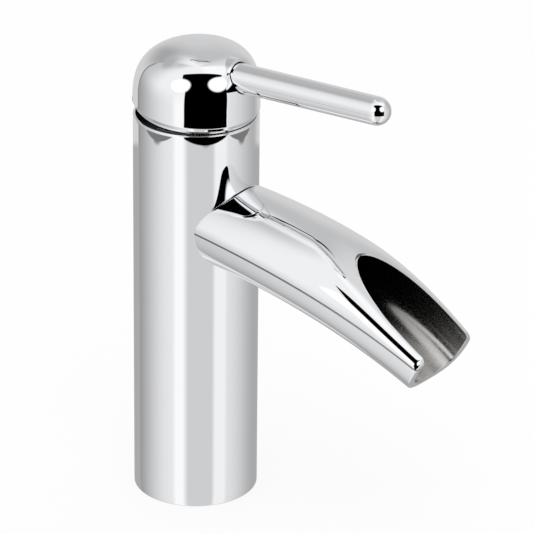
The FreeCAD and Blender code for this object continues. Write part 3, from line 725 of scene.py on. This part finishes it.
def waterway_satin():
    """Blasted and plated waterway: fine grain, and painted shade that darkens it away from the mouth."""
    material, wiring, shader = finish_of("waterway_satin", 1.0)
    place = wiring.object_place(scale=(1.0, 0.5, 0.8))
    grain = wiring.noise(place, 1500.0, 4.0, 0.65)
    fine = wiring.noise(place, 3800.0, 2.0, 0.6)
    split = wiring.node("ShaderNodeSeparateXYZ")
    wiring.link(wiring.object_place(), split.inputs[0])
    # painted shade: the colour falls from 0.64 near the mouth to 0.18 towards the closed end
    painted_shade_depth = wiring.step(split.outputs[1], -0.112, -0.066)
    wiring.link(wiring.step(grain, 0.3, 0.7, 0.18, 0.26), shader.inputs["Roughness"])
    level = wiring.calc("MULTIPLY", wiring.step(grain, 0.25, 0.75, 0.9, 1.1), wiring.mix(painted_shade_depth, 0.64, 0.18))
    tint = wiring.node("ShaderNodeCombineColor")
    for socket, share in zip(tint.inputs, (1.0, 0.985, 0.96)):
        wiring.link(wiring.calc("MULTIPLY", level, share), socket)
    wiring.link(tint.outputs[0], shader.inputs["Base Color"])
    wiring.link(wiring.bump(wiring.mix(0.4, grain, fine), 0.14, 0.00004), shader.inputs["Normal"])
    return material


# Near-black: the spout's dark joint, and painted shade inside the column's mouth and the dome.
def dark_joint_and_painted_shade():
    material, wiring, shader = finish_of("dark_joint_and_painted_shade", 0.0, Specular_IOR_Level=0.1)
    grain = wiring.noise(wiring.object_place(), 1500.0)
    black = ((0.3, (0.003, 0.003, 0.003)), (0.7, (0.005, 0.005, 0.006)))
    wiring.link(wiring.ramp(grain, black), shader.inputs["Base Color"])
    wiring.link(wiring.step(grain, 0.3, 0.7, 0.5, 0.7), shader.inputs["Roughness"])
    return material


def machined(name, dark, light, rough, rings=2200.0):
    """Turned metal: fine rings round the Z axis with a little tarnish."""
    material, wiring, shader = finish_of(name, 1.0)
    place = wiring.object_place()
    wave = wiring.node("ShaderNodeTexWave", wave_type="RINGS", rings_direction="Z", wave_profile="SIN")
    wave.inputs["Scale"].default_value = rings
    wave.inputs["Distortion"].default_value = 1.5
    wave.inputs["Detail"].default_value = 2.0
    wiring.link(place, wave.inputs["Vector"])
    tarnish = wiring.noise(place, 140.0, 5.0, 0.6)
    wiring.link(wiring.ramp(tarnish, ((0.3, dark), (0.7, light))), shader.inputs["Base Color"])
    wiring.link(wiring.step(tarnish, 0.3, 0.7, rough, rough + 0.12), shader.inputs["Roughness"])
    wiring.link(wiring.bump(wave.outputs["Fac"], 0.15, 0.00003), shader.inputs["Normal"])
    return material


def drawn_steel(name, dark, light):
    """Drawn tube: streaks along its length."""
    material, wiring, shader = finish_of(name, 1.0)
    streaks = wiring.noise(wiring.object_place(scale=(1, 1, 0.03)), 1400.0, 4.0, 0.6)
    wiring.link(wiring.ramp(streaks, ((0.3, dark), (0.7, light))), shader.inputs["Base Color"])
    wiring.link(wiring.step(streaks, 0.3, 0.7, 0.24, 0.38), shader.inputs["Roughness"])
    wiring.link(wiring.bump(streaks, 0.2, 0.00003), shader.inputs["Normal"])
    return material


def moulded(name, dark, light, rough, grain_scale=1100.0, bump=0.12):
    """Moulded plastic, rubber or ceramic: fine grain and slow colour drift."""
    material, wiring, shader = finish_of(name, 0.0)
    place = wiring.object_place()
    grain = wiring.noise(place, grain_scale, 3.0, 0.6)
    drift = wiring.noise(place, 60.0, 3.0, 0.5)
    wiring.link(wiring.ramp(drift, ((0.3, dark), (0.7, light))), shader.inputs["Base Color"])
    wiring.link(wiring.step(grain, 0.3, 0.7, rough - 0.06, rough + 0.06), shader.inputs["Roughness"])
    wiring.link(wiring.bump(grain, bump, 0.00004), shader.inputs["Normal"])
    return material


def dress_inner_pieces():
    """Every solid that keeps its own shape gets the finish of its slot."""
    finishes = {
        "polished_chrome": chrome,
        "raw_brass": machined("raw_brass", (0.64, 0.47, 0.21), (0.78, 0.61, 0.32), 0.26),
        "tube_steel": drawn_steel("tube_steel", (0.60, 0.60, 0.59), (0.76, 0.76, 0.75)),
        "turned_steel": machined("turned_steel", (0.50, 0.50, 0.52), (0.66, 0.66, 0.68), 0.24, 3000.0),
        "seal_rubber": moulded("seal_rubber", (0.018, 0.018, 0.020), (0.040, 0.040, 0.043), 0.62, 1800.0, 0.3),
        "disc_ceramic": moulded("disc_ceramic", (0.86, 0.85, 0.81), (0.93, 0.92, 0.89), 0.22, 2400.0, 0.05),
        "cartridge_plastic": moulded("cartridge_plastic", (0.74, 0.75, 0.74), (0.84, 0.84, 0.82), 0.42),
        "dark_plastic": moulded("dark_plastic", (0.050, 0.052, 0.056), (0.085, 0.086, 0.090), 0.46),
        "limit_plastic": moulded("limit_plastic", (0.58, 0.045, 0.035), (0.68, 0.065, 0.050), 0.40),
    }
    slots = {part["node"]: part["material_slot"] for part in frame["record"]["subparts"]}
    for name, node in frame["nodes"].items():
        material = finishes[slots[name]]
        for k in range(len(node.material_slots)):
            node.material_slots[k].link = "DATA"
            node.data.materials[k] = material
        if not node.material_slots:
            node.data.materials.append(material)


# ---- studio --------------------------------------------------------------------------------------------------------
def grey(level):
    """A grey written as 0 to 255 on screen, as light, with the plate's own share taken out."""
    s = level / 255
    linear = s / 12.92 if s <= 0.04045 else ((s + 0.055) / 1.055) ** 2.4
    return linear / PLATE


LOW_EDGE = -23.3                 # elevation where the low panels end and the flags begin
PALE, LIGHT, MIDDLE, DIM = 240, 210, 190, 165      # greys of the room
STRIP = 250                      # the white strip to the left and the screen to the right
GREY_PANELS = ((-127.0, 31.0), (39.0, 28.0))       # low grey panels: bearing of the middle, half the width
FLAG_BEARINGS = (-73.5, 4.3)     # the upright black flag ahead of the mixer
FLAG_MIDDLE = -52.0              # where the flag across its top stands highest
FLAG_TOP_TAN = 2.475             # and the tangent of its height there
FLAG_SLANT = 0.72                # how its left end leans: degrees of bearing to a degree of height
LAMPS = ((-87.0, 28.8), (-7.8, 27.6))              # the round lamps: bearing, height
LAMP_RIM, LAMP_FULL = 21.0, 16.0                   # degrees from a lamp's middle where it begins and is full
LAMP_LEVEL = 1.15
PLAIN_SKY = 0.92                 # what all but reflections and the camera see


def low_panels(wiring, bearing):
    """Low round the mixer: a dim wall behind, two white strips ahead and a grey card between them."""
    left = wiring.step(bearing, -190.0, -95.0, grey(150), grey(230))
    low = wiring.mix(wiring.step(bearing, -95.0, -85.0), left, grey(205))
    rising = wiring.step(bearing, -10.0, 0.0)
    low = wiring.mix(rising, low, wiring.step(bearing, 0.0, 85.0, grey(225), grey(170)))
    rising = wiring.step(bearing, -98.0, -88.0)
    left_strip = wiring.calc("MULTIPLY", rising, wiring.step(bearing, -78.0, -64.0, 1.0, 0.0))
    low = wiring.mix(left_strip, low, grey(STRIP))
    rising = wiring.step(bearing, -23.0, -14.0)
    right_strip = wiring.calc("MULTIPLY", rising, wiring.step(bearing, 2.0, 10.0, 1.0, 0.0))
    return wiring.mix(right_strip, low, grey(PALE))


def room(wiring, bearing, height, low):
    """Walls all round: the low panels fade upwards into softer greys, nearly white overhead."""
    left_high = wiring.step(bearing, -175.0, -120.0, grey(195), grey(PALE))
    left = wiring.mix(wiring.step(height, -15.0, 18.0), low, left_high)
    left = wiring.mix(wiring.step(height, 66.0, 88.0), left, grey(PALE))
    screen = wiring.step(bearing, 40.0, 68.0, grey(STRIP), grey(215))
    front_right = wiring.mix(wiring.step(height, 25.0, 50.0), low, screen)
    near = wiring.step(bearing, 140.0, 165.0, 0.0, 6.0)
    rise = wiring.calc("ADD", near, wiring.step(bearing, 165.0, 178.0, 0.0, 6.0))
    over = wiring.calc("SUBTRACT", height, rise)
    overhead = wiring.step(over, 31.0, 72.0)
    back = wiring.mix(overhead, wiring.step(over, -10.0, 31.0, grey(LIGHT), grey(DIM)), grey(PALE))
    overhead = wiring.step(height, 64.0, 88.0)
    side = wiring.mix(overhead, wiring.step(height, 5.0, 50.0, grey(LIGHT), grey(MIDDLE)), grey(PALE))
    back = wiring.mix(wiring.step(bearing, 128.0, 150.0), side, back)
    right = wiring.mix(wiring.step(bearing, 70.0, 105.0), front_right, back)
    walls = wiring.mix(wiring.step(bearing, -40.0, 0.0), left, right)
    behind = wiring.calc("ABSOLUTE", bearing)
    corner = wiring.calc("MULTIPLY", wiring.step(behind, 178.0, 178.8), wiring.step(height, 28.0, 36.0, 1.0, 0.0))
    walls = wiring.mix(corner, walls, grey(132))
    beam = wiring.calc("MULTIPLY", wiring.step(behind, 145.0, 172.0), wiring.between(height, 43.0, 57.0, 9.0))
    walls = wiring.mix(beam, walls, grey(176))
    drop = wiring.step(bearing, 127.0, 143.0, 0.0, 5.8)
    rail = wiring.between(wiring.calc("ADD", height, drop), 68.7, 70.9, 0.2)
    rail = wiring.calc("MULTIPLY", rail, wiring.step(bearing, 84.0, 108.0))
    return wiring.mix(wiring.calc("MULTIPLY", rail, wiring.step(bearing, 145.0, 148.0, 1.0, 0.0)), walls, grey(20))


def sagging_edge(wiring, bearing, middle, half):
    """Lower edge of a panel, lowest at the bearing in its middle and a degree higher half a panel away."""
    across = wiring.calc("DIVIDE", wiring.calc("SUBTRACT", bearing, middle), half)
    return wiring.calc("MULTIPLY_ADD", across, across, LOW_EDGE)


def studio_world():
    """The room that reflections see: walls, black flags, two round lamps and grey panels low down.

    Nothing else sees it. The camera sees white, and all other light comes from a plain pale sky.
    """
    world = bpy.data.worlds.new("studio")
    bpy.context.scene.world = world
    world.use_nodes = True
    wiring = Wiring(world.node_tree)
    coord = wiring.node("ShaderNodeTexCoord")
    split = wiring.node("ShaderNodeSeparateXYZ")
    wiring.link(coord.outputs["Generated"], split.inputs[0])
    x, y, z = split.outputs
    back = wiring.calc("MULTIPLY", y, -1.0)
    bearing = wiring.calc("DEGREES", wiring.calc("ARCTAN2", x, back))
    height = wiring.calc("DEGREES", wiring.calc("ARCSINE", z))

    low = low_panels(wiring, bearing)
    wall = room(wiring, bearing, height, low)
    for middle, half in GREY_PANELS:
        above = wiring.calc("SUBTRACT", height, sagging_edge(wiring, bearing, middle, half))
        panel = wiring.calc("MULTIPLY", wiring.step(above, -0.06, 0.06), wiring.step(height, -22.3, -22.1, 1.0, 0.0))
        panel = wiring.calc("MULTIPLY", panel, wiring.between(bearing, middle - 40, middle + 40, 2.0))
        wall = wiring.mix(panel, wall, grey(120))

    upright = wiring.between(bearing, *FLAG_BEARINGS, 1.0)
    upright = wiring.calc("MULTIPLY", upright, wiring.step(height, 48.0, 52.0, 1.0, 0.0))
    from_middle = wiring.calc("RADIANS", wiring.calc("ADD", bearing, -FLAG_MIDDLE))
    top_tan = wiring.calc("MULTIPLY", FLAG_TOP_TAN, wiring.calc("COSINE", from_middle))
    top_edge = wiring.calc("DEGREES", wiring.calc("ARCTANGENT", top_tan))
    slant = wiring.calc("MULTIPLY_ADD", height, -FLAG_SLANT, -98.5 + 59.5 * FLAG_SLANT)
    left_end = wiring.step(wiring.calc("SUBTRACT", bearing, slant), -0.6, 0.6)
    across = wiring.calc("MULTIPLY", left_end, wiring.step(bearing, 11.5, 13.0, 1.0, 0.0))
    across = wiring.calc("MULTIPLY", across, wiring.step(height, 42.0, 44.5))
    below_top = wiring.step(wiring.calc("SUBTRACT", height, top_edge), -0.8, 1.2, 1.0, 0.0)
    across = wiring.calc("MULTIPLY", across, below_top)
    flag = wiring.calc("MAXIMUM", upright, across)
    studio = wiring.mix(flag, wall, 0.0)
    for lamp_bearing, lamp_height in LAMPS:
        b, h = math.radians(lamp_bearing), math.radians(lamp_height)
        aim = (math.sin(b) * math.cos(h), -math.cos(b) * math.cos(h), math.sin(h))
        dot = wiring.node("ShaderNodeVectorMath", operation="DOT_PRODUCT")
        wiring.link(coord.outputs["Generated"], dot.inputs[0])
        dot.inputs[1].default_value = aim
        rim, full = math.cos(math.radians(LAMP_RIM)), math.cos(math.radians(LAMP_FULL))
        lamp = wiring.step(dot.outputs["Value"], rim, full, 0.0, LAMP_LEVEL)
        studio = wiring.calc("MAXIMUM", studio, lamp)

    edge = wiring.calc("MINIMUM", sagging_edge(wiring, bearing, -34.0, 40.0), LOW_EDGE + 1.0)
    in_front = wiring.between(bearing, -80.0, 10.0, 1.0)
    edge = wiring.mix(in_front, LOW_EDGE, edge)
    share = wiring.step(wiring.calc("SUBTRACT", height, edge), -0.06, 0.06)
    studio = wiring.mix(share, low, studio)

    rays = wiring.node("ShaderNodeLightPath")
    seen = wiring.calc("MAXIMUM", rays.outputs["Is Glossy Ray"], rays.outputs["Is Transmission Ray"])
    level = wiring.mix(seen, PLAIN_SKY, studio)
    level = wiring.mix(rays.outputs["Is Camera Ray"], level, 1.0)
    background = wiring.node("ShaderNodeBackground")
    wiring.link(level, background.inputs["Strength"])
    output = wiring.node("ShaderNodeOutputWorld")
    wiring.link(background.outputs[0], output.inputs["Surface"])
    background.inputs["Color"].default_value = (1.0, 1.0, 1.0, 1.0)


def studio_floor():
    """Pale floor that keeps a faint shadow. Low panels stand in for it in the plate."""
    deselect_all()
    bpy.ops.mesh.primitive_plane_add(size=6.0)
    floor = bpy.context.object
    floor.name = "floor"
    material = bpy.data.materials.new("floor_white")
    material.use_nodes = True
    wiring = Wiring(material.node_tree)
    diffuse = wiring.node("ShaderNodeBsdfDiffuse")
    diffuse.inputs["Color"].default_value = (0.92, 0.92, 0.92, 1.0)
    glow = wiring.node("ShaderNodeEmission")
    rays = wiring.node("ShaderNodeLightPath")
    mirrored = wiring.calc("MAXIMUM", rays.outputs["Is Glossy Ray"], rays.outputs["Is Transmission Ray"])
    shown = wiring.calc("MAXIMUM", rays.outputs["Is Camera Ray"], mirrored)
    mix = wiring.node("ShaderNodeMixShader")
    wiring.link(wiring.calc("MULTIPLY", shown, 0.84), mix.inputs[0])
    wiring.link(diffuse.outputs[0], mix.inputs[1])
    wiring.link(glow.outputs[0], mix.inputs[2])
    output = wiring.node("ShaderNodeOutputMaterial")
    wiring.link(mix.outputs[0], output.inputs["Surface"])
    floor.data.materials.append(material)
    floor.visible_glossy = False


def soft_lamp():
    lamp = bpy.data.lights.new("soft_box", "AREA")
    lamp.shape = "DISK"
    lamp.size = 0.9
    lamp.energy = 4.0
    holder = bpy.data.objects.new("soft_box", lamp)
    bpy.context.scene.collection.objects.link(holder)
    place = Vector((-0.5, -0.5, 1.3))
    holder.location = place
    holder.rotation_euler = (Vector((0, 0, 0.08)) - place).to_track_quat("-Z", "Y").to_euler()
    holder.visible_glossy = False


def place_camera():
    """Where the photograph was taken from; its frame is square."""
    place = Vector((-1.1149, -0.8869, 0.7503))
    forward = Vector((0.7198, 0.5515, -0.4216)).normalized()
    up = Vector((0.3288, 0.2641, 0.9068))
    right = forward.cross(up).normalized()
    up = right.cross(forward).normalized()
    turn = Matrix((right, up, -forward)).transposed().to_4x4()
    data = bpy.data.cameras.new("camera")
    data.sensor_width = 36.0
    data.lens = 4268.3 / 533 * 36.0
    data.clip_start = 0.05
    camera = bpy.data.objects.new("camera", data)
    bpy.context.scene.collection.objects.link(camera)
    camera.matrix_world = Matrix.Translation(place) @ turn
    bpy.context.scene.camera = camera


# ---- put together -------------------------------------------------------------------------------------
chrome = polished_chrome()
# darker chrome at 0.3 of the plate's brightness: painted shade along the crease at the spout's widest line
crease_painted_shade = polished_chrome("crease_painted_shade", 0.3)
satin_waterway = waterway_satin()
# near-black for the spout's joint, and painted shade inside the column's mouth and the dome
joint_and_painted_shade = dark_joint_and_painted_shade()


def stand_for(piece, body, slot, *nodes):
    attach(piece, body)
    if nodes:
        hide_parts(*nodes)


def build_mixer():
    stand_for(make_column(), "base", "polished_chrome", "column_body")
    stand_for(make_spout(), "base", "polished_chrome", "spout_shell")
    dome, arm, hub = make_dome()
    stand_for(dome, "handle", "polished_chrome", "handle_dome")
    stand_for(arm, "handle", "polished_chrome")
    stand_for(hub, "handle", "polished_chrome")
    stand_for(make_lever(), "handle", "polished_chrome", "lever_rod")


dress_inner_pieces()
build_mixer()
studio_world()
studio_floor()
soft_lamp()
place_camera()
bpy.context.scene.view_settings.view_transform = "Standard"
deselect_all()
